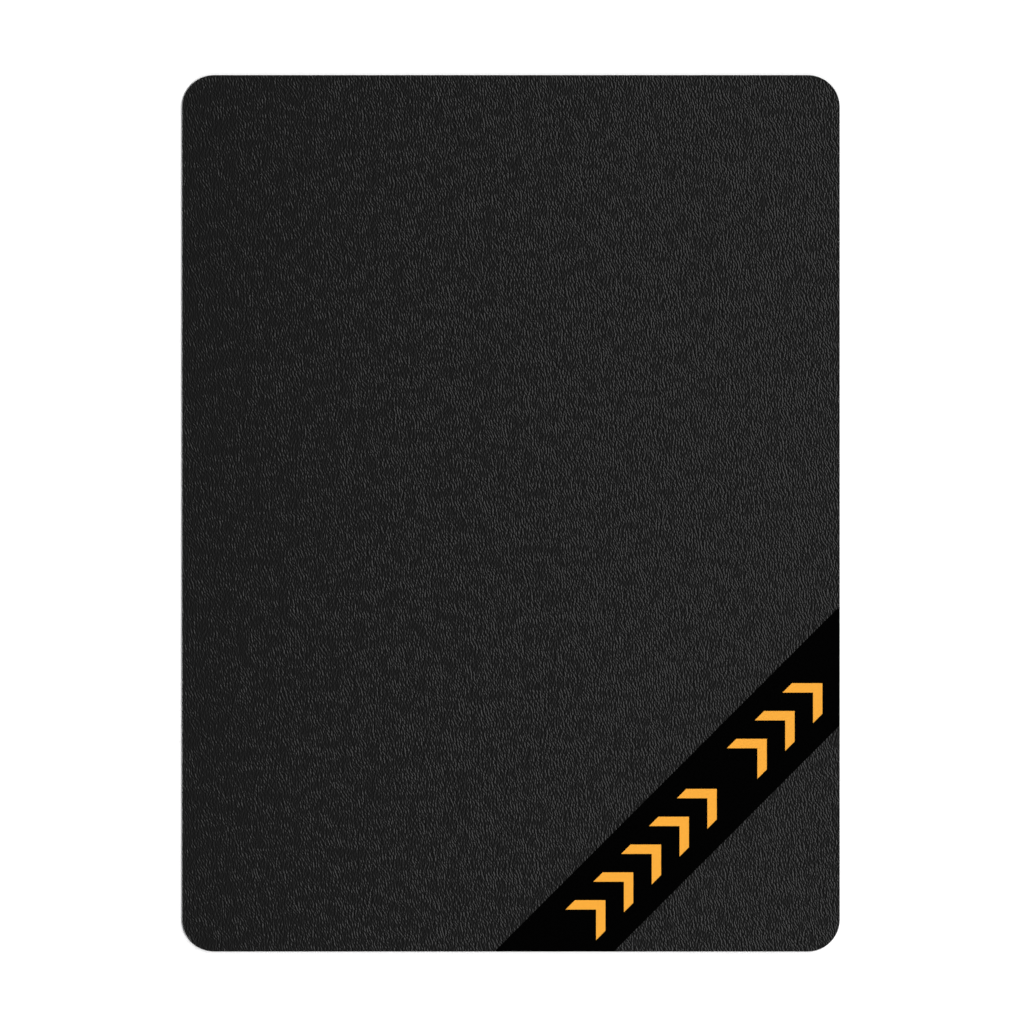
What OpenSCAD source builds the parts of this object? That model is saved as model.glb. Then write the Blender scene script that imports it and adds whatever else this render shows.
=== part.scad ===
// Chair mat: a laminated vinyl sheet for the floor under an office chair, with a film band across one corner.
// Millimetres. +Z is up, and z = 0 is the underside. The origin is under the middle of the mat.
// +X is the mat's right, +Y its far end, and the band crosses its near right corner.

/* [Mat] */
// Width of the mat
mat_w = 914.4; // [700:0.1:1500]
// Length of the mat
mat_l = 1219.2; // [900:0.1:2000]
// Radius of the four corners
corner_r = 44.45; // [10:0.05:150]

/* [Layers] */
// Thickness of the embossed wear sheet
wear_t = 0.9; // [0.5:0.05:2]
// Thickness of the glass-fibre fleece that keeps the mat from growing and curling
fleece_t = 0.2; // [0.1:0.05:0.5]
// Thickness of the core sheet
core_t = 1; // [0.5:0.05:3]
// Thickness of the non-slip backing
backing_t = 0.4; // [0.2:0.05:1]

/* [Corner band] */
// Width of the band
band_w = 117.5; // [80:0.5:180]
// Distance from the mat's square corner to the band's centreline, square to the band
band_reach = 281; // [220:0.5:340]
// Thickness of the band's film
film_t = 0.15; // [0.05:0.01:0.3]
// Thickness of the adhesive under the film
adhesive_t = 0.05; // [0.02:0.01:0.15]

/* [Chevrons] */
// Chevrons in the row's first group
first_group = 5; // [1:1:6]
// Chevrons in the row's second group
second_group = 3; // [1:1:4]
// Width of a chevron's arm
arm_w = 13; // [5:0.5:16]
// Film left clear between the chevrons and each long side of the band
side_margin = 28.75; // [10:0.25:45]
// Clear length of the band's centreline before the first chevron
start_margin = 52.7; // [35:0.1:120]
// Clear length of the band's centreline after the last chevron
end_margin = 34.1; // [10:0.1:120]
// Extra space between the two groups
group_gap = 43.7; // [0:0.1:80]

/* [Hidden] */
// Angle from the width axis to the band's direction
band_angle = 45;
// How far a cutting shape passes the face that it cuts
pass = 1;
core_z = backing_t;
fleece_z = core_z + core_t;
wear_z = fleece_z + fleece_t;
top_z = wear_z + wear_t;
film_z = top_z - film_t;
adhesive_z = film_z - adhesive_t;
// Longer than any line across the mat
across = mat_w + mat_l;
// A chevron's arms lie at 45 degrees to the band, so its tip leads its tails by half its height
chevron_h = band_w - 2 * side_margin;
chevron_l = chevron_h / 2 + arm_w * sqrt(2);
chevrons = first_group + second_group;
// The centreline is cut off by the mat's two edges at band_reach from its middle, each way
row_l = 2 * band_reach - start_margin - end_margin;
pitch = (row_l - chevron_l - group_gap) / (chevrons - 1);

// The outline that every sheet is trimmed to, a rectangle with round corners
module outline() {
    inner_w = mat_w - 2 * corner_r;
    inner_l = mat_l - 2 * corner_r;
    square([mat_w, inner_l], center = true);
    square([inner_w, mat_l], center = true);
    for (x = [-1, 1], y = [-1, 1])
        translate([x * inner_w / 2, y * inner_l / 2])
            circle(r = corner_r, $fn = 96);
}

// One flat layer of the mat
module layer(z, thickness) {
    translate([0, 0, z])
        linear_extrude(thickness)
            outline();
}

// Puts its children on the band: x runs along the centreline from its middle, and y away from the corner
module on_band(z) {
    foot = band_reach / sqrt(2);
    translate([mat_w / 2 - foot, foot - mat_l / 2, z])
        rotate([0, 0, band_angle])
            children();
}

// The band's strip, before it is trimmed to the mat
module strip(z, thickness) {
    on_band(z)
        translate([-across / 2, -band_w / 2, 0])
            cube([across, band_w, thickness]);
}

// The band's strip, trimmed flush with the mat's edges
module trimmed_strip(z, thickness) {
    intersection() {
        layer(z, thickness);
        strip(z, thickness);
    }
}

// Where chevron i starts along the centreline, counted from 0
function chevron_x(i) =
    start_margin - band_reach + i * pitch + (i < first_group ? 0 : group_gap);

// Chevron i, which points along the band to the mat's right edge
module chevron_shape(i, z, thickness) {
    tip = chevron_h / 2;
    arm = arm_w * sqrt(2);
    on_band(z)
        translate([chevron_x(i), 0, 0])
            linear_extrude(thickness)
                polygon([
                    [0, tip],
                    [arm, tip],
                    [arm + tip, 0],
                    [arm, -tip],
                    [0, -tip],
                    [tip, 0]
                ]);
}

// Non-slip vinyl that rests on the floor
module backing_sheet() {
    color("#2b2b2b")
        layer(0, backing_t);
}

// Dense vinyl core that gives the mat its stiffness
module core_sheet() {
    color("#3a3a3a")
        layer(core_z, core_t);
}

// Glass-fibre fleece, bonded between the core and the wear sheet
module fleece() {
    color("#8f8f88")
        layer(fleece_z, fleece_t);
}

// Embossed vinyl that the chair rolls on, with a shallow recess that the band is pressed into
module wear_sheet() {
    color("#232323")
        difference() {
            layer(wear_z, wear_t);
            strip(adhesive_z, film_t + adhesive_t + pass);
        }
}

// Adhesive that covers the recess's floor
module band_adhesive() {
    color("#d8d2b0")
        trimmed_strip(adhesive_z, adhesive_t);
}

// Smooth black film, flush with the wear sheet, with a window for each chevron
module band_film() {
    color("#050505")
        difference() {
            trimmed_strip(film_z, film_t);
            for (i = [0 : chevrons - 1])
                chevron_shape(i, film_z - pass, film_t + 2 * pass);
        }
}

// Amber film, set into its window in the black film
module chevron(i) {
    color("#fdb03c")
        chevron_shape(i, film_z, film_t);
}

backing_sheet();
core_sheet();
fleece();
wear_sheet();
band_adhesive();
band_film();
for (i = [0 : chevrons - 1])
    chevron(i);
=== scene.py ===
"""Chair mat: a laminated vinyl sheet with an embossed top, a film band across one corner and grip dots below.

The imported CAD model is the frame. Its film, adhesive and chevrons stay, and get their finishes here. The
four bonded layers are rebuilt with fine round corners, a die-cut edge, the embossing's relief and the dots.
"""

import logging
import math
import random
from collections.abc import Iterable, Mapping, Sequence
from dataclasses import dataclass
from enum import Enum

import bmesh
import bpy
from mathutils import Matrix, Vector
from mathutils.geometry import delaunay_2d_cdt

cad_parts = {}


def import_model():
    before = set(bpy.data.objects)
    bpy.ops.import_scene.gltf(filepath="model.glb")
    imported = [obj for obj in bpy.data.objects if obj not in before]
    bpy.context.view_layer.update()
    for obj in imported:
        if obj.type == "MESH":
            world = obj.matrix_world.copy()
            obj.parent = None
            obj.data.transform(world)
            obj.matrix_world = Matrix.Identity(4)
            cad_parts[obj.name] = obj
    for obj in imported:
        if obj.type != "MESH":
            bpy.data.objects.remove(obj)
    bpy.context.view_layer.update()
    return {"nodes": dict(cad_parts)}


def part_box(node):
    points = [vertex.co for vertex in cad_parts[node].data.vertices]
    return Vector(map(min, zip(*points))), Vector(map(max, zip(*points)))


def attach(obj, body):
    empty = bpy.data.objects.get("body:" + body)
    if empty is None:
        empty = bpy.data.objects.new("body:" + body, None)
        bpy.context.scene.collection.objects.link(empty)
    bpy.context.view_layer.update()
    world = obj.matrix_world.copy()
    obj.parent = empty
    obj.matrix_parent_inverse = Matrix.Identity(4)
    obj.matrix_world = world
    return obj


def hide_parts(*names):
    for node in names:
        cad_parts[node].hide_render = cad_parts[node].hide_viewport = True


log = logging.getLogger("chair_mat")

Point = tuple[float, float]
Colour = tuple[float, float, float, float]
Input = object  # a socket to link from, or the value that an unlinked socket holds

MM = 0.001
BODY = "root"
MIDDLE = 0.5  # what a noise's value swings about
KEEP_INSIDE = 1  # tells the triangulation to keep only the faces inside the outline
SAME_POINT = 1e-9  # points nearer than this are one point to the triangulation


class Slot(Enum):
    """The record's material slots, one for each rebuilt layer."""

    WEAR = "wear_vinyl"
    FLEECE = "glass_fleece"
    CORE = "core_vinyl"
    BACKING = "backing_vinyl"


# --------------------------------------------------------------------------------------------------
# Shared tools
# --------------------------------------------------------------------------------------------------


def linear(code: str) -> Colour:
    """Turns an sRGB hex code into the linear colour that a shader takes.

    Args:
        code: six hex digits after a hash.

    Returns:
        The linear red, green and blue, and an alpha of 1.
    """
    channels = [int(code[i : i + 2], 16) / 255 for i in (1, 3, 5)]
    red, green, blue = (c / 12.92 if c <= 0.04045 else ((c + 0.055) / 1.055) ** 2.4 for c in channels)
    return red, green, blue, 1.0


def add_node(
    tree: bpy.types.NodeTree,
    kind: str,
    inputs: Mapping[str | int, Input] | None = None,
    **settings: object,
) -> bpy.types.Node:
    """Adds one node to a shader or geometry tree.

    Args:
        tree: the tree that gets the node.
        kind: the node's type name.
        inputs: for each input, by name or number, a socket to link it to or a value to set.
        settings: the node's own properties.

    Returns:
        The new node.
    """
    node = tree.nodes.new(kind)
    for name, value in settings.items():
        setattr(node, name, value)
    for key, source in (inputs or {}).items():
        if isinstance(source, bpy.types.NodeSocket):
            tree.links.new(source, node.inputs[key])
        else:
            node.inputs[key].default_value = source
    return node


def settle(piece: bpy.types.Object) -> None:
    """Turns what a piece's modifiers make into its plain mesh, and removes them and any slot they left empty.

    Args:
        piece: the object to settle.
    """
    graph = bpy.context.evaluated_depsgraph_get()
    mesh = bpy.data.meshes.new_from_object(piece.evaluated_get(graph))
    mesh.name = piece.name
    piece.modifiers.clear()
    piece.data = mesh
    for index in reversed(range(len(mesh.materials))):
        if mesh.materials[index] is None:
            mesh.materials.pop(index=index)


def new_piece(name: str, shape: bmesh.types.BMesh) -> bpy.types.Object:
    """Puts a shape into the scene as an object, with its faces turned outwards.

    Args:
        name: the object's name.
        shape: the closed shape, which is freed.

    Returns:
        The new object, at the origin.
    """
    bmesh.ops.recalc_face_normals(shape, faces=shape.faces)
    mesh = bpy.data.meshes.new(name)
    shape.to_mesh(mesh)
    shape.free()
    piece = bpy.data.objects.new(name, mesh)
    bpy.context.scene.collection.objects.link(piece)
    return piece


def smooth(piece: bpy.types.Object, fold: float = math.radians(50)) -> None:
    """Shades a piece as one soft surface, except where it folds by more than an angle."""
    piece.data.shade_smooth()
    piece.data.set_sharp_from_angle(angle=fold)


def hand_over(piece: bpy.types.Object, slot: Slot, node: str) -> None:
    """Attaches a piece to the body it rides on, and hides the CAD node that it stands for.

    Args:
        piece: the finished piece.
        slot: the record's material slot; not used.
        node: the CAD node that the piece replaces.
    """
    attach(piece, BODY)
    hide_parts(node)
    log.info("%s: %d faces in place of %s", piece.name, len(piece.data.polygons), node)


class Recipe:
    """A geometry tree with named inputs, which makes what repeats or follows a rule."""

    SOCKETS = {float: "NodeSocketFloat", int: "NodeSocketInt", Vector: "NodeSocketVector"}

    def __init__(self, name: str, material: bpy.types.Material, sizes: Mapping[str, Input]) -> None:
        """Starts the tree.

        Args:
            name: the tree's name.
            material: what the result is made of.
            sizes: each named input, with its value.
        """
        self.values: dict[str, Input] = {}
        self.tree = bpy.data.node_groups.new(name, "GeometryNodeTree")
        interface = self.tree.interface
        interface.new_socket("Geometry", in_out="INPUT", socket_type="NodeSocketGeometry")
        interface.new_socket("Geometry", in_out="OUTPUT", socket_type="NodeSocketGeometry")
        for title, value in sizes.items():
            socket = interface.new_socket(title, in_out="INPUT", socket_type=self.SOCKETS[type(value)])
            self.values[socket.identifier] = value
        socket = interface.new_socket("Material", in_out="INPUT", socket_type="NodeSocketMaterial")
        self.values[socket.identifier] = material
        self.inputs = add_node(self.tree, "NodeGroupInput").outputs

    def run(self, geometry: bpy.types.NodeSocket, piece: bpy.types.Object) -> None:
        """Ends the tree, and puts it on a piece as a modifier.

        Args:
            geometry: the socket that holds the made shape.
            piece: the object whose mesh the tree starts from.
        """
        solid = add_node(self.tree, "GeometryNodeRealizeInstances", {0: geometry}).outputs[0]
        dressed = add_node(
            self.tree, "GeometryNodeSetMaterial", {"Geometry": solid, "Material": self.inputs["Material"]}
        )
        add_node(self.tree, "NodeGroupOutput", {0: dressed.outputs[0]})
        modifier = piece.modifiers.new(self.tree.name, "NODES")
        modifier.node_group = self.tree
        for identifier, value in self.values.items():
            modifier[identifier] = value


# --------------------------------------------------------------------------------------------------
# The embossing pattern
# --------------------------------------------------------------------------------------------------


@dataclass(frozen=True)
class Grain:
    """The embossing roll's pattern: short upright creases that lean and waver, with calmer patches between.

    One field drives the relief of the mesh and the finish on it, so grooves fall in the same places in both.
    """

    half_width: float  # of the sheet that the roll presses
    burst: float = 4.5 * MM  # size of one burst of creases
    creases: float = 1.0  # creases across a burst, so their pitch is 4.5 mm
    stretch: float = 0.87  # a burst's length along the creases, as a share of its width
    alignment: float = 0.85  # 1 is all parallel
    lean: float = math.radians(12)  # of the creases' tops, to the left
    wander: float = math.radians(70)  # full swing of the lean from place to place
    wander_size: float = 18 * MM
    patch_size: float = 18 * MM
    calm_below: float = 0.35  # the patch noise's value where the calmest patches begin
    full_above: float = 0.65  # its value where the depth is whole
    calm: float = 0.65  # share of the depth that the calmest patch loses
    slack: float = 0.58  # share of the depth lost at the left edge, where the roll presses less
    slack_bend: float = 1.6  # above 1, the loss gathers near that edge
    fullness: float = 2.5  # how much of the roll's depth a usual crease takes up
    bottom: float = 0.75  # how far the field swings, each way, before the roll's face limits it
    octaves: float = 1.0  # finer waves in the noise that the creases waver by, and in the patches' noise
    seed: Vector = Vector((3.1, 7.7, 0.0))

    def sizes(self) -> dict[str, Input]:
        """Returns the values that the field reads, by name."""
        return {
            "Burst Scale": 1 / self.burst,
            "Draw": Vector((1.0, 1 / self.stretch, 1.0)),
            "Creases": self.creases,
            "Alignment": self.alignment,
            "Lean": self.lean,
            "Wander": self.wander,
            "Wander Scale": 1 / self.wander_size,
            "Patch Scale": 1 / self.patch_size,
            "Calm Below": self.calm_below,
            "Full Above": self.full_above,
            "Calm": self.calm,
            "Slack": self.slack,
            "Slack Bend": self.slack_bend,
            "Half Width": self.half_width,
            "Fullness": self.fullness,
            "Lowest": -self.bottom,
            "Highest": self.bottom,
            "Seed": self.seed,
        }

    def height(
        self, tree: bpy.types.NodeTree, place: bpy.types.NodeSocket, sizes: Mapping[str, Input]
    ) -> bpy.types.NodeSocket:
        """Adds the nodes of the field to a shader or geometry tree.

        Args:
            tree: the tree that gets them.
            place: the position on the mat, in metres.
            sizes: the field's values, as sizes() gives them, or sockets that hold them.

        Returns:
            The relief's height, from about 0 in a groove to about 1 on a ridge.
        """
        spot = add_node(
            tree,
            "ShaderNodeVectorMath",
            {0: place, 1: sizes["Draw"], 2: sizes["Seed"]},
            operation="MULTIPLY_ADD",
        ).outputs[0]
        sway, patch = (
            add_node(
                tree,
                "ShaderNodeTexNoise",
                {"Vector": spot, "Scale": sizes[scale], "Detail": self.octaves},
                noise_dimensions="2D",
            ).outputs[0]
            for scale in ("Wander Scale", "Patch Scale")
        )
        turn = add_node(tree, "ShaderNodeMath", {0: sway, 1: MIDDLE}, operation="SUBTRACT").outputs[0]
        angle = add_node(
            tree,
            "ShaderNodeMath",
            {0: turn, 1: sizes["Wander"], 2: sizes["Lean"]},
            operation="MULTIPLY_ADD",
        ).outputs[0]
        creases = add_node(
            tree,
            "ShaderNodeTexGabor",
            {
                "Vector": spot,
                "Scale": sizes["Burst Scale"],
                "Frequency": sizes["Creases"],
                "Anisotropy": sizes["Alignment"],
                "Orientation": angle,
            },
        ).outputs["Value"]
        swing = add_node(tree, "ShaderNodeMath", {0: creases, 1: MIDDLE}, operation="SUBTRACT").outputs[0]
        press = self.pressure(tree, place, patch, sizes)
        pressed = add_node(tree, "ShaderNodeMath", {0: swing, 1: press}, operation="MULTIPLY").outputs[0]
        return add_node(
            tree,
            "ShaderNodeMapRange",
            {"Value": pressed, "From Min": sizes["Lowest"], "From Max": sizes["Highest"]},
            interpolation_type="SMOOTHSTEP",
        ).outputs[0]

    def pressure(
        self,
        tree: bpy.types.NodeTree,
        place: bpy.types.NodeSocket,
        patch: bpy.types.NodeSocket,
        sizes: Mapping[str, Input],
    ) -> bpy.types.NodeSocket:
        """Adds the nodes for how hard the roll presses: less in calm patches and towards the left edge.

        Args:
            tree: the tree that gets them.
            place: the position on the mat, in metres.
            patch: the noise whose low values are the calm patches.
            sizes: the field's values, or sockets that hold them.

        Returns:
            What the creases' swing is multiplied by.
        """
        calmest, loosest = (
            add_node(tree, "ShaderNodeMath", {0: 1.0, 1: sizes[share]}, operation="SUBTRACT").outputs[0]
            for share in ("Calm", "Slack")
        )
        kept = add_node(
            tree,
            "ShaderNodeMapRange",
            {
                "Value": patch,
                "From Min": sizes["Calm Below"],
                "From Max": sizes["Full Above"],
                "To Min": calmest,
            },
        ).outputs[0]
        across = add_node(tree, "ShaderNodeSeparateXYZ", {0: place}).outputs["X"]
        side = add_node(
            tree, "ShaderNodeMath", {0: across, 1: sizes["Half Width"]}, operation="DIVIDE"
        ).outputs[0]
        leftward = add_node(
            tree, "ShaderNodeMapRange", {"Value": side, "From Min": 1.0, "From Max": -1.0}
        ).outputs[0]
        loss = add_node(
            tree, "ShaderNodeMath", {0: leftward, 1: sizes["Slack Bend"]}, operation="POWER"
        ).outputs[0]
        nip = add_node(
            tree, "ShaderNodeMapRange", {"Value": loss, "To Min": 1.0, "To Max": loosest}
        ).outputs[0]
        even = add_node(tree, "ShaderNodeMath", {0: nip, 1: kept}, operation="MULTIPLY").outputs[0]
        return add_node(
            tree, "ShaderNodeMath", {0: even, 1: sizes["Fullness"]}, operation="MULTIPLY"
        ).outputs[0]


# --------------------------------------------------------------------------------------------------
# Finishes
# --------------------------------------------------------------------------------------------------


@dataclass(frozen=True)
class Finish:
    """What every finish has: a name, and a Principled shader whose steady values sit on its own sockets."""

    name: str
    roughness: float
    ior: float
    gloss: float = 0.5  # the share of its mirroring that the surface keeps, where 0.5 is all of it

    def build(self) -> bpy.types.Material:
        """Makes the material.

        Returns:
            The material, with the finish's own pattern in it.
        """
        material = bpy.data.materials.new(self.name)
        material.use_nodes = True
        tree = material.node_tree
        shader = tree.nodes["Principled BSDF"]
        shader.inputs["Roughness"].default_value = self.roughness
        shader.inputs["IOR"].default_value = self.ior
        shader.inputs["Specular IOR Level"].default_value = self.gloss
        place = add_node(tree, "ShaderNodeTexCoord").outputs["Object"]
        self.pattern(tree, shader, place)
        return material

    def pattern(
        self, tree: bpy.types.NodeTree, shader: bpy.types.Node, place: bpy.types.NodeSocket
    ) -> None:
        """Adds what varies over the surface.

        Args:
            tree: the material's tree.
            shader: its Principled shader.
            place: the position on the mat, in metres.
        """
        raise NotImplementedError


@dataclass(frozen=True, kw_only=True)
class EmbossedVinyl(Finish):
    """Calendered PVC, embossed by a grained roll.

    To the eye it is carbon black all through, and its tone comes from the creases: each catches a thin satin
    light on the flank towards the lamp and loses it on the other. Its base colour holds painted shade as
    well, darker in the grooves, and paler on the ridges from wear and a painted sheen.
    """

    name: str = "embossed_calendered_vinyl"
    roughness: float = 0.44
    ior: float = 1.52
    gloss: float = 0.18  # the haircell's pores swallow most of the mirroring
    # The two base colours: painted shade in the grooves, and wear with a painted sheen on the ridges
    groove_painted_shade: str = "#040404"
    ridge_wear_and_painted_sheen: str = "#080808"
    relief: float = 0.88 * MM  # for a full swing of the field, and a usual crease is a fraction of that
    grain: Grain
    haircell: float = 0.9 * MM  # really 0.2 mm, drawn coarser so that it shows
    haircell_depth: float = 0.006 * MM
    haircell_octaves: float = 2.0  # finer waves in its noise

    def pattern(
        self, tree: bpy.types.NodeTree, shader: bpy.types.Node, place: bpy.types.NodeSocket
    ) -> None:
        """Adds the creases, with painted shade in their grooves in the base colour, and the fine haircell of
        the roll between them.
        """
        height = self.grain.height(tree, place, self.grain.sizes())
        # The ramp paints shade: the base colour is darker where the relief is low, in the grooves, and paler
        # on the ridges
        tone = add_node(tree, "ShaderNodeValToRGB", {0: height})
        tone.color_ramp.elements[0].color = linear(self.groove_painted_shade)
        tone.color_ramp.elements[1].color = linear(self.ridge_wear_and_painted_sheen)
        tree.links.new(tone.outputs[0], shader.inputs["Base Color"])
        crease_bump = add_node(tree, "ShaderNodeBump", {"Height": height, "Distance": self.relief})
        hair = add_node(
            tree,
            "ShaderNodeTexNoise",
            {"Vector": place, "Scale": 1 / self.haircell, "Detail": self.haircell_octaves},
        ).outputs[0]
        hair_bump = add_node(
            tree,
            "ShaderNodeBump",
            {"Height": hair, "Distance": self.haircell_depth, "Normal": crease_bump.outputs[0]},
        )
        tree.links.new(hair_bump.outputs[0], shader.inputs["Normal"])


@dataclass(frozen=True)
class MottledFinish(Finish):
    """A plain compound whose colour drifts between two tones, with a fine surface of its own."""

    dark: str = "#000000"
    light: str = "#FFFFFF"
    dark_below: float = 0.3  # the noise's value where the dark tone is whole
    light_above: float = 0.7  # its value where the light tone is whole
    grit: float = 1.0 * MM
    depth: float = 0.01 * MM
    octaves: float = 3.0  # finer waves in the grit's noise
    stretch: Vector = Vector((1.0, 1.0, 1.0))  # how much finer the pattern is along each axis

    def pattern(
        self, tree: bpy.types.NodeTree, shader: bpy.types.Node, place: bpy.types.NodeSocket
    ) -> None:
        """Adds the drift of colour, and the grit as bump."""
        spot = add_node(tree, "ShaderNodeMapping", {"Vector": place, "Scale": self.stretch}).outputs[0]
        speck = add_node(
            tree, "ShaderNodeTexNoise", {"Vector": spot, "Scale": 1 / self.grit, "Detail": self.octaves}
        ).outputs[0]
        tone = add_node(tree, "ShaderNodeValToRGB", {0: speck})
        tone.color_ramp.elements[0].color = linear(self.dark)
        tone.color_ramp.elements[0].position = self.dark_below
        tone.color_ramp.elements[1].color = linear(self.light)
        tone.color_ramp.elements[1].position = self.light_above
        tree.links.new(tone.outputs[0], shader.inputs["Base Color"])
        bump = add_node(tree, "ShaderNodeBump", {"Height": speck, "Distance": self.depth})
        tree.links.new(bump.outputs[0], shader.inputs["Normal"])


@dataclass(frozen=True)
class RubbedFinish(MottledFinish):
    """A mottled compound that is paler where the floor has rubbed it."""

    rubbed: str = "#3B3A38"
    reach: float = 0.02 * MM  # how far up from the floor it is rubbed

    def pattern(
        self, tree: bpy.types.NodeTree, shader: bpy.types.Node, place: bpy.types.NodeSocket
    ) -> None:
        """Adds the mottling, and the rubbed colour over it."""
        super().pattern(tree, shader, place)
        mottled = shader.inputs["Base Color"].links[0].from_socket
        level = add_node(tree, "ShaderNodeSeparateXYZ", {0: place}).outputs["Z"]
        low = add_node(tree, "ShaderNodeMath", {0: level, 1: self.reach}, operation="LESS_THAN").outputs[0]
        tone = add_node(
            tree,
            "ShaderNodeMix",
            {"Factor": low, "A": mottled, "B": linear(self.rubbed)},
            data_type="RGBA",
        )
        tree.links.new(tone.outputs["Result"], shader.inputs["Base Color"])


# Extruded PVC filled with chalk. It shows only at the cut edge, as a dull dark grey with a faint mottle.
FILLED_VINYL = MottledFinish(
    "filled_vinyl_core", roughness=0.7, ior=1.53, dark="#1E1E1E", light="#2E2D2C", grit=1.2 * MM
)
# Wet-laid glass fibre soaked in vinyl. At the cut edge it is a pale hairline, broken up by its fibres.
GLASS_FLEECE = MottledFinish(
    "glass_fibre_fleece",
    roughness=0.8,
    ior=1.52,
    dark="#5E5E5A",
    light="#8C8C86",
    grit=0.8 * MM,
    stretch=Vector((0.2, 0.2, 3.0)),
)
# Soft PVC moulded on a matt roll. It is dead matt and nearly black, with the dots' tips rubbed paler.
SOFT_VINYL = RubbedFinish(
    "soft_moulded_vinyl", roughness=0.78, ior=1.53, dark="#191919", light="#242424", grit=1.5 * MM
)
# Cast PVC film under a matt lacquer. It is the blackest thing on the mat, and smooth beside the grain.
BLACK_FILM = MottledFinish(
    "matt_black_cast_film",
    roughness=0.25,
    ior=1.46,
    gloss=0.05,
    dark="#000000",
    light="#020202",
    grit=2.5 * MM,
    depth=0.002 * MM,
)
# Cast PVC film, pigmented amber. It is a strong flat colour that drifts a shade from place to place.
AMBER_FILM = MottledFinish(
    "amber_cast_film",
    roughness=0.45,
    ior=1.46,
    dark="#E19927",
    light="#E59D2A",
    grit=3.0 * MM,
    depth=0.002 * MM,
)
# Rolled acrylic adhesive. It is waxy and straw-coloured, and shows only where the band meets the cut edge.
CLEAR_ADHESIVE = MottledFinish(
    "acrylic_adhesive", roughness=0.35, ior=1.47, dark="#B9B08A", light="#CFC7A2", grit=2.0 * MM
)


# --------------------------------------------------------------------------------------------------
# The layers
# --------------------------------------------------------------------------------------------------


@dataclass(frozen=True)
class Outline:
    """The die-cut outline that all the layers share: a rectangle with round corners."""

    width: float
    length: float
    radius: float = 44.45 * MM
    step: float = 2.4 * MM  # the most between two points of a ring

    def ring(self, inset: float) -> list[Point]:
        """Walks the outline counter-clockwise.

        Args:
            inset: how far inside the cut edge to walk.

        Returns:
            The points, as many for one inset as for another.
        """
        across = self.width / 2 - self.radius
        along = self.length / 2 - self.radius
        radius = self.radius - inset
        arc_steps = math.ceil(math.pi / 2 * self.radius / self.step)
        points: list[Point] = []
        for quarter, (x_side, y_side, run) in enumerate(
            ((1, 1, across), (-1, 1, along), (-1, -1, across), (1, -1, along))
        ):
            start = quarter * math.pi / 2
            for i in range(arc_steps + 1):
                angle = start + math.pi / 2 * i / arc_steps
                points.append(
                    (x_side * across + radius * math.cos(angle), y_side * along + radius * math.sin(angle))
                )
            x, y = points[-1]
            side_steps = math.ceil(2 * run / self.step)
            heading = start + math.pi / 2
            for i in range(1, side_steps):
                gone = 2 * run * i / side_steps
                points.append((x - math.sin(heading) * gone, y + math.cos(heading) * gone))
        return points

    def depth(self, x: float, y: float) -> float:
        """Returns how far a point lies inside the cut edge, which is negative outside it."""
        past_x = abs(x) - self.width / 2 + self.radius
        past_y = abs(y) - self.length / 2 + self.radius
        return self.radius - math.hypot(max(past_x, 0), max(past_y, 0)) - min(max(past_x, past_y), 0)


def cut_layer(
    outline: Outline, profile: Sequence[Point], inner: Iterable[Point] = (), squeeze: float = 1.0
) -> bmesh.types.BMesh:
    """Makes a closed flat layer.

    Args:
        outline: the layer's outline.
        profile: inset and height of each ring round the edge, from the top face to the bottom face.
        inner: points inside the top face, which is one polygon without them.
        squeeze: how much the points are drawn together along Y while they are joined, so that a face may be
            longer that way.

    Returns:
        The layer's shape.
    """
    shape = bmesh.new()
    rings = [[shape.verts.new((x, y, z)) for x, y in outline.ring(inset)] for inset, z in profile]
    for upper, lower in zip(rings, rings[1:]):
        for i, vert in enumerate(upper):
            shape.faces.new((upper[i - 1], lower[i - 1], lower[i], vert))
    shape.faces.new(reversed(rings[-1]))
    top_inset, top = profile[0]
    inner = list(inner)
    if not inner:
        shape.faces.new(rings[0])
        return shape
    round_edge = outline.ring(top_inset)
    count = len(round_edge)
    flat = [Vector((x, y * squeeze)) for x, y in (*round_edge, *inner)]
    edge_pairs = [(i, (i + 1) % count) for i in range(count)]
    places, _, faces, origins, _, _ = delaunay_2d_cdt(flat, edge_pairs, [], KEEP_INSIDE, SAME_POINT)
    made = []
    for place, origin in zip(places, origins):
        on_edge = min(origin) < count
        made.append(rings[0][min(origin)] if on_edge else shape.verts.new((place.x, place.y / squeeze, top)))
    for face in faces:
        shape.faces.new([made[i] for i in face])
    return shape


@dataclass(frozen=True)
class Layer:
    """One plain bonded layer, cut flush with the rest or drawn in a little by the cutting die."""

    node: str
    title: str
    slot: Slot
    finish: Finish
    inset: float = 0.0

    def build(self, outline: Outline) -> bpy.types.Object:
        """Makes the layer in its CAD node's place.

        Args:
            outline: the mat's outline.

        Returns:
            The finished piece.
        """
        low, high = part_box(self.node)
        piece = new_piece(self.title, cut_layer(outline, ((self.inset, high.z), (self.inset, low.z))))
        piece.data.materials.append(self.finish.build())
        hand_over(piece, self.slot, self.node)
        return piece


@dataclass(frozen=True)
class Band:
    """The film band's place across the near right corner, where its recess is pressed into the wear sheet."""

    width: float = 117.5 * MM
    reach: float = 281 * MM  # from the square corner to the band's centreline
    headroom: float = 1 * MM  # how far the pressing block stands above the sheet

    def cutter(self, outline: Outline, floor: float, top: float) -> bpy.types.Object:
        """Makes the block that presses the recess.

        Args:
            outline: the mat's outline.
            floor: height of the recess's floor.
            top: height of the sheet's top.

        Returns:
            A helper object, which the caller removes.
        """
        corner = Vector((outline.width / 2, -outline.length / 2))
        away = Vector((-1, 1)).normalized()
        along = Vector((1, 1)).normalized()
        past_the_mat = along * outline.width
        shape = bmesh.new()
        for side in (-1, 1):
            middle = corner + away * (self.reach + side * self.width / 2)
            for end in (-1, 1):
                x, y = middle + past_the_mat * end
                for z in (floor, top + self.headroom):
                    shape.verts.new((x, y, z))
        bmesh.ops.convex_hull(shape, input=shape.verts)
        return new_piece("recess_cutter", shape)


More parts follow.
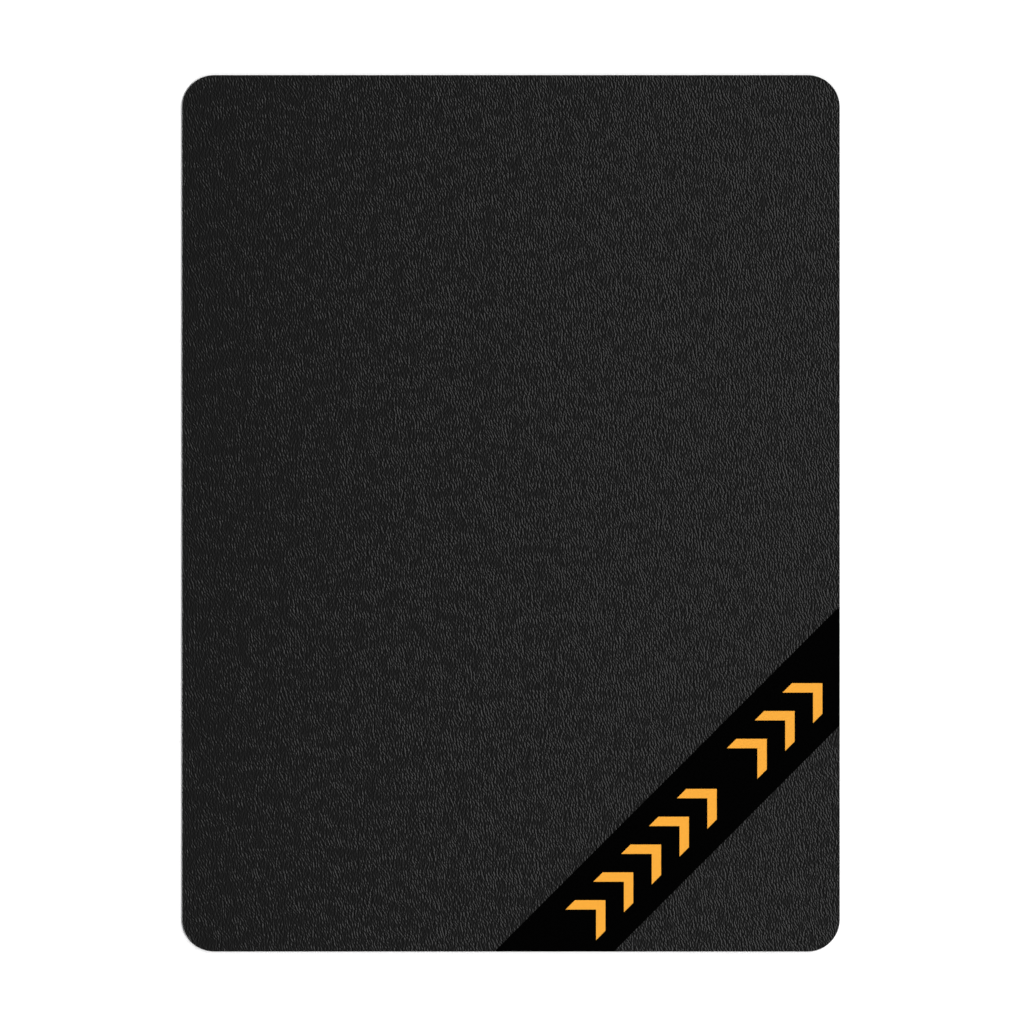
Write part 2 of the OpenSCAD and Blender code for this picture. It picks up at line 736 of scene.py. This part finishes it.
@dataclass(frozen=True)
class WearSheet:
    """The embossed top layer: rolled over at the cut edge, creased, with the band's recess pressed in.

    Its mesh is coarse beside the creases, whose pitch is 4.5 mm, because finer columns would take it past
    200,000 triangles. So it carries the relief's depth and drift, and the finish's bump the exact creases.
    """

    outline: Outline
    band: Band
    finish: EmbossedVinyl
    relief: float = 0.12 * MM  # from groove to ridge, in the mesh
    roll: float = 0.3 * MM  # how far the die rounds the top edge
    roll_steps: int = 3
    row: float = 5.6 * MM  # between two rows of the top face's points
    column: float = 2.4 * MM  # between two points of a row
    stray: float = 0.2  # how far a point is off its place, as a share of the row and column
    edge_gap: float = 1.3 * MM  # between the rolled edge and the nearest of those points
    seed: int = 11
    tolerance: float = 0.01 * MM  # how far under the top plane a point still counts as on it

    def build(self) -> bpy.types.Object:
        """Makes the sheet in its CAD node's place.

        Returns:
            The finished piece.
        """
        low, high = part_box("wear_sheet")
        material = self.finish.build()
        profile = self.edge_profile(low.z, high.z)
        shape = cut_layer(self.outline, profile, self.spots(), self.column / self.row)
        piece = new_piece("embossed_wear_sheet", shape)
        self.emboss(piece, material, high.z)
        recess_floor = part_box("band_adhesive")[0].z
        cutter = self.band.cutter(self.outline, recess_floor, high.z)
        cutter.data.materials.append(material)
        press = piece.modifiers.new("recess", "BOOLEAN")
        press.operation = "DIFFERENCE"
        press.solver = "MANIFOLD"
        press.object = cutter
        settle(piece)
        bpy.data.objects.remove(cutter)
        smooth(piece)
        hand_over(piece, Slot.WEAR, "wear_sheet")
        return piece

    def edge_profile(self, bottom: float, top: float) -> list[Point]:
        """Returns each ring's inset and height, from the top face over the rolled edge to the underside."""
        turns = [math.pi / 2 * i / self.roll_steps for i in range(self.roll_steps + 1)]
        rolled = [(self.roll * (1 - math.sin(t)), top - self.roll * (1 - math.cos(t))) for t in turns]
        return [*rolled, (0.0, bottom)]

    def spots(self) -> Iterable[Point]:
        """Yields the top face's inner points, in staggered rows, each a little off its place."""
        draw = random.Random(self.seed)
        rows = math.ceil(self.outline.length / self.row)
        columns = math.ceil(self.outline.width / self.column)
        for j in range(rows + 1):
            for i in range(columns + 1):
                x = (i - columns / 2 + (j % 2) / 2 + draw.uniform(-self.stray, self.stray)) * self.column
                y = (j - rows / 2 + draw.uniform(-self.stray, self.stray)) * self.row
                if self.outline.depth(x, y) > self.roll + self.edge_gap:
                    yield x, y

    def emboss(self, piece: bpy.types.Object, material: bpy.types.Material, top: float) -> None:
        """Presses the grain into the top face, down from its plane.

        Args:
            piece: the flat sheet.
            material: what it is made of.
            top: height of the plane that the ridges reach.
        """
        sizes = {"Relief": self.relief, "Top": top - self.tolerance, **self.finish.grain.sizes()}
        recipe = Recipe("embossing_roll", material, sizes)
        tree, inputs = recipe.tree, recipe.inputs
        place = add_node(tree, "GeometryNodeInputPosition").outputs[0]
        height = self.finish.grain.height(tree, place, {name: inputs[name] for name in sizes})
        below = add_node(tree, "ShaderNodeMath", {0: height, 1: 1.0}, operation="SUBTRACT").outputs[0]
        drop = add_node(
            tree, "ShaderNodeMath", {0: below, 1: inputs["Relief"]}, operation="MULTIPLY"
        ).outputs[0]
        level = add_node(tree, "ShaderNodeSeparateXYZ", {0: place}).outputs["Z"]
        on_top = add_node(
            tree, "FunctionNodeCompare", {0: level, 1: inputs["Top"]}, operation="GREATER_THAN"
        ).outputs[0]
        offset = add_node(tree, "ShaderNodeCombineXYZ", {"Z": drop}).outputs[0]
        moved = add_node(
            tree,
            "GeometryNodeSetPosition",
            {"Geometry": inputs["Geometry"], "Selection": on_top, "Offset": offset},
        ).outputs[0]
        recipe.run(moved, piece)


@dataclass(frozen=True)
class GripBacking:
    """The non-slip underside: a soft sheet on staggered low dots that stand on the floor."""

    outline: Outline
    finish: Finish
    dot_height: float = 0.25 * MM
    dot_base: float = 2.4 * MM  # radius where a dot joins the sheet
    dot_tip: float = 2.1 * MM  # its radius on the floor
    dot_root: float = 0.05 * MM  # how far a dot is sunk into the sheet
    dot_sides: int = 12
    pitch: float = 18 * MM
    edge_gap: float = 5 * MM  # between the cut edge and the nearest dot's middle

    def build(self) -> bpy.types.Object:
        """Makes the backing in its CAD node's place.

        Returns:
            The finished piece.
        """
        low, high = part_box("backing_sheet")
        under = low.z + self.dot_height
        piece = new_piece("grip_backing", cut_layer(self.outline, ((0.0, high.z), (0.0, under))))
        material = self.finish.build()
        piece.data.materials.append(material)
        self.mould_dots(piece, material, low.z)
        settle(piece)
        smooth(piece)
        hand_over(piece, Slot.BACKING, "backing_sheet")
        return piece

    def sizes(self, floor: float) -> dict[str, Input]:
        """Returns the values that the dots' tree reads, by name, for a floor at this height."""
        row = self.pitch * math.sqrt(3) / 2
        half_rows = math.floor((self.outline.length / 2 - self.edge_gap) / row)
        half_columns = math.floor((self.outline.width / 2 - self.edge_gap) / self.pitch)
        return {
            "Pitch": self.pitch,
            "Row": row,
            "Columns": 2 * half_columns + 1,
            "Rows": 2 * half_rows + 1,
            "Half Width": self.outline.width / 2 - self.outline.radius,
            "Half Length": self.outline.length / 2 - self.outline.radius,
            "Corner": self.outline.radius - self.edge_gap,
            "Floor": floor,
            "Dot Base": self.dot_base,
            "Dot Tip": self.dot_tip,
            "Dot Height": self.dot_height + self.dot_root,
            "Dot Sides": self.dot_sides,
        }

    def mould_dots(self, piece: bpy.types.Object, material: bpy.types.Material, floor: float) -> None:
        """Adds the dots under the sheet.

        Args:
            piece: the plain sheet.
            material: what it is made of.
            floor: height of the plane that the dots stand on.
        """
        recipe = Recipe("grip_dots", material, self.sizes(floor))
        tree, inputs = recipe.tree, recipe.inputs
        x, y = self.places(tree, inputs)
        spot = add_node(tree, "ShaderNodeCombineXYZ", {"X": x, "Y": y, "Z": inputs["Floor"]}).outputs[0]
        count = add_node(
            tree, "ShaderNodeMath", {0: inputs["Columns"], 1: inputs["Rows"]}, operation="MULTIPLY"
        ).outputs[0]
        points = add_node(tree, "GeometryNodePoints", {"Count": count, "Position": spot}).outputs[0]
        dot = add_node(
            tree,
            "GeometryNodeMeshCone",
            {
                "Vertices": inputs["Dot Sides"],
                "Radius Top": inputs["Dot Base"],
                "Radius Bottom": inputs["Dot Tip"],
                "Depth": inputs["Dot Height"],
            },
        ).outputs["Mesh"]
        dots = add_node(
            tree,
            "GeometryNodeInstanceOnPoints",
            {"Points": points, "Selection": self.clear_of_edge(tree, inputs, x, y), "Instance": dot},
        ).outputs[0]
        joined = add_node(tree, "GeometryNodeJoinGeometry", {0: dots})
        tree.links.new(inputs["Geometry"], joined.inputs[0])
        recipe.run(joined.outputs[0], piece)

    def places(
        self, tree: bpy.types.NodeTree, inputs: Mapping[str, bpy.types.NodeSocket]
    ) -> tuple[bpy.types.NodeSocket, bpy.types.NodeSocket]:
        """Adds the nodes that turn a dot's number into its place, in rows centred on the mat.

        Args:
            tree: the dots' tree.
            inputs: its named inputs.

        Returns:
            How far along X and along Y the dot is. Every other row is shifted by half a pitch.
        """
        index = add_node(tree, "GeometryNodeInputIndex").outputs[0]
        column = add_node(
            tree, "ShaderNodeMath", {0: index, 1: inputs["Columns"]}, operation="FLOORED_MODULO"
        ).outputs[0]
        lines = add_node(
            tree, "ShaderNodeMath", {0: index, 1: inputs["Columns"]}, operation="DIVIDE"
        ).outputs[0]
        line = add_node(tree, "ShaderNodeMath", {0: lines}, operation="FLOOR").outputs[0]
        odd = add_node(tree, "ShaderNodeMath", {0: line, 1: 2.0}, operation="FLOORED_MODULO").outputs[0]
        shifted = add_node(
            tree, "ShaderNodeMath", {0: odd, 1: 0.5, 2: column}, operation="MULTIPLY_ADD"
        ).outputs[0]
        found = []
        for number, total, spacing in ((shifted, "Columns", "Pitch"), (line, "Rows", "Row")):
            first = add_node(
                tree, "ShaderNodeMath", {0: inputs[total], 1: -0.5, 2: 0.5}, operation="MULTIPLY_ADD"
            ).outputs[0]
            step = add_node(tree, "ShaderNodeMath", {0: number, 1: first}, operation="ADD").outputs[0]
            place = add_node(tree, "ShaderNodeMath", {0: step, 1: inputs[spacing]}, operation="MULTIPLY")
            found.append(place.outputs[0])
        return found[0], found[1]

    def clear_of_edge(
        self,
        tree: bpy.types.NodeTree,
        inputs: Mapping[str, bpy.types.NodeSocket],
        x: bpy.types.NodeSocket,
        y: bpy.types.NodeSocket,
    ) -> bpy.types.NodeSocket:
        """Adds the nodes that tell whether a dot keeps its gap from the cut edge, round the corners too.

        Args:
            tree: the dots' tree.
            inputs: its named inputs.
            x: how far along X the dot is.
            y: how far along Y it is.

        Returns:
            True where the dot is kept.
        """
        past = []
        for reach, inner in ((x, "Half Width"), (y, "Half Length")):
            size = add_node(tree, "ShaderNodeMath", {0: reach}, operation="ABSOLUTE").outputs[0]
            over = add_node(
                tree, "ShaderNodeMath", {0: size, 1: inputs[inner]}, operation="SUBTRACT"
            ).outputs[0]
            past.append(add_node(tree, "ShaderNodeMath", {0: over, 1: 0.0}, operation="MAXIMUM").outputs[0])
        corner = add_node(tree, "ShaderNodeCombineXYZ", {"X": past[0], "Y": past[1]}).outputs[0]
        far = add_node(tree, "ShaderNodeVectorMath", {0: corner}, operation="LENGTH").outputs["Value"]
        return add_node(
            tree, "FunctionNodeCompare", {0: far, 1: inputs["Corner"]}, operation="LESS_THAN"
        ).outputs[0]


def dress(nodes: Mapping[str, bpy.types.Object], finish: Finish, names: Iterable[str]) -> None:
    """Gives CAD nodes that stay as they are one finish.

    Args:
        nodes: the frame's CAD objects, by name.
        finish: the finish that they share.
        names: which of them get it.
    """
    material = finish.build()
    for name in names:
        for slot in nodes[name].material_slots:
            slot.material = material
        log.info("%s: the CAD node in %s", name, material.name)


# --------------------------------------------------------------------------------------------------
# The studio
# --------------------------------------------------------------------------------------------------


@dataclass(frozen=True)
class Lamp:
    """A distant soft lamp, so the floor is as bright at its far end as under the mat."""

    title: str
    tilt: float  # degrees from straight above
    compass: float  # degrees from +X towards +Y
    strength: float
    spread: float  # degrees across, as seen from the mat

    def build(self) -> None:
        """Hangs the lamp."""
        light = bpy.data.lights.new(self.title, "SUN")
        light.energy = self.strength
        light.angle = math.radians(self.spread)
        lamp = bpy.data.objects.new(self.title, light)
        tilt, compass = math.radians(self.tilt), math.radians(self.compass)
        toward = Vector(
            (math.sin(tilt) * math.cos(compass), math.sin(tilt) * math.sin(compass), math.cos(tilt))
        )
        lamp.rotation_euler = toward.to_track_quat("Z", "Y").to_euler()
        bpy.context.scene.collection.objects.link(lamp)


@dataclass(frozen=True)
class Studio:
    """A pale floor with a low wall far off, soft lamps and a camera that looks straight down.

    No lamp hangs opposite a low viewpoint, where the mat would mirror it and lose its colour.
    """

    lamps: tuple[Lamp, ...] = (
        Lamp("key", tilt=38, compass=0, strength=2.8, spread=25),
        Lamp("fill_far", tilt=68, compass=42, strength=2.6, spread=40),
        Lamp("fill_near", tilt=68, compass=-98, strength=2.0, spread=40),
    )
    floor_half: float = 50.0  # metres from the mat's middle to the wall
    wall: float = 2.0  # height of the wall round the floor, which closes a low view without shading the mat
    floor_gap: float = 0.02 * MM  # under the dots' tips, so that the two faces never share a plane
    floor_colour: str = "#F4F4F4"
    floor_roughness: float = 0.9
    sky: str = "#FFFFFF"
    rim: float = 0.5  # brightness of the surroundings at the horizon
    rim_height: float = 0.35  # the sine of the elevation where they have gone dark
    lens: float = 300.0
    sensor: float = 36.0
    view_width: float = 1424.4 * MM  # across the picture, at the mat's top
    aim: Vector = Vector((1.32 * MM, 1.85 * MM))  # the picture's middle, from the mat's

    def build(self, top: float) -> None:
        """Sets up the studio.

        Args:
            top: height of the mat's top.
        """
        self.lay_floor()
        self.paint_sky()
        for lamp in self.lamps:
            lamp.build()
        scene = bpy.context.scene
        data = bpy.data.cameras.new("camera")
        data.lens = self.lens
        data.sensor_width = self.sensor
        camera = bpy.data.objects.new("camera", data)
        distance = self.view_width * self.lens / self.sensor
        camera.location = (*self.aim, top + distance)
        scene.collection.objects.link(camera)
        scene.camera = camera
        scene.view_settings.view_transform = "Standard"

    def lay_floor(self) -> None:
        """Lays a plain matt floor just under the grip dots, and raises the wall round it."""
        shape = bmesh.new()
        bmesh.ops.create_grid(shape, x_segments=1, y_segments=1, size=self.floor_half)
        raised = bmesh.ops.extrude_edge_only(shape, edges=shape.edges)["geom"]
        tops = [part for part in raised if isinstance(part, bmesh.types.BMVert)]
        bmesh.ops.translate(shape, verts=tops, vec=(0, 0, self.wall))
        floor = new_piece("floor", shape)
        floor.location.z = -self.floor_gap
        material = bpy.data.materials.new("matt_floor_paint")
        material.use_nodes = True
        shader = material.node_tree.nodes["Principled BSDF"]
        shader.inputs["Base Color"].default_value = linear(self.floor_colour)
        shader.inputs["Roughness"].default_value = self.floor_roughness
        floor.data.materials.append(material)

    def paint_sky(self) -> None:
        """Paints the surroundings: pale at the horizon, dim above, where the mat would mirror them."""
        world = bpy.data.worlds.new("surroundings")
        world.use_nodes = True
        tree = world.node_tree
        toward = add_node(tree, "ShaderNodeTexCoord").outputs["Generated"]
        up = add_node(tree, "ShaderNodeSeparateXYZ", {0: toward}).outputs["Z"]
        fade = add_node(
            tree,
            "ShaderNodeMapRange",
            {"Value": up, "From Max": self.rim_height, "To Min": self.rim, "To Max": 0.0},
            interpolation_type="SMOOTHSTEP",
        ).outputs[0]
        surroundings = tree.nodes["Background"]
        surroundings.inputs["Color"].default_value = linear(self.sky)
        tree.links.new(fade, surroundings.inputs["Strength"])
        bpy.context.scene.world = world


# --------------------------------------------------------------------------------------------------
# The whole scene
# --------------------------------------------------------------------------------------------------


def main() -> None:
    """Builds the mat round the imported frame, then the studio round the mat."""
    logging.basicConfig(level=logging.INFO, format="%(name)s: %(message)s")
    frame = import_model()
    nodes = frame["nodes"]
    low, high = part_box("core_sheet")
    outline = Outline(high.x - low.x, high.y - low.y)

    vinyl = EmbossedVinyl(grain=Grain(half_width=outline.width / 2))
    WearSheet(outline, Band(), vinyl).build()
    Layer("fleece", "glass_fleece", Slot.FLEECE, GLASS_FLEECE, inset=0.08 * MM).build(outline)
    Layer("core_sheet", "vinyl_core", Slot.CORE, FILLED_VINYL).build(outline)
    GripBacking(outline, SOFT_VINYL).build()
    dress(nodes, BLACK_FILM, ["band_film"])
    dress(nodes, CLEAR_ADHESIVE, ["band_adhesive"])
    dress(nodes, AMBER_FILM, [name for name in nodes if name.startswith("chevron_")])
    Studio().build(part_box("wear_sheet")[1].z)


if __name__ == "__main__":
    main()
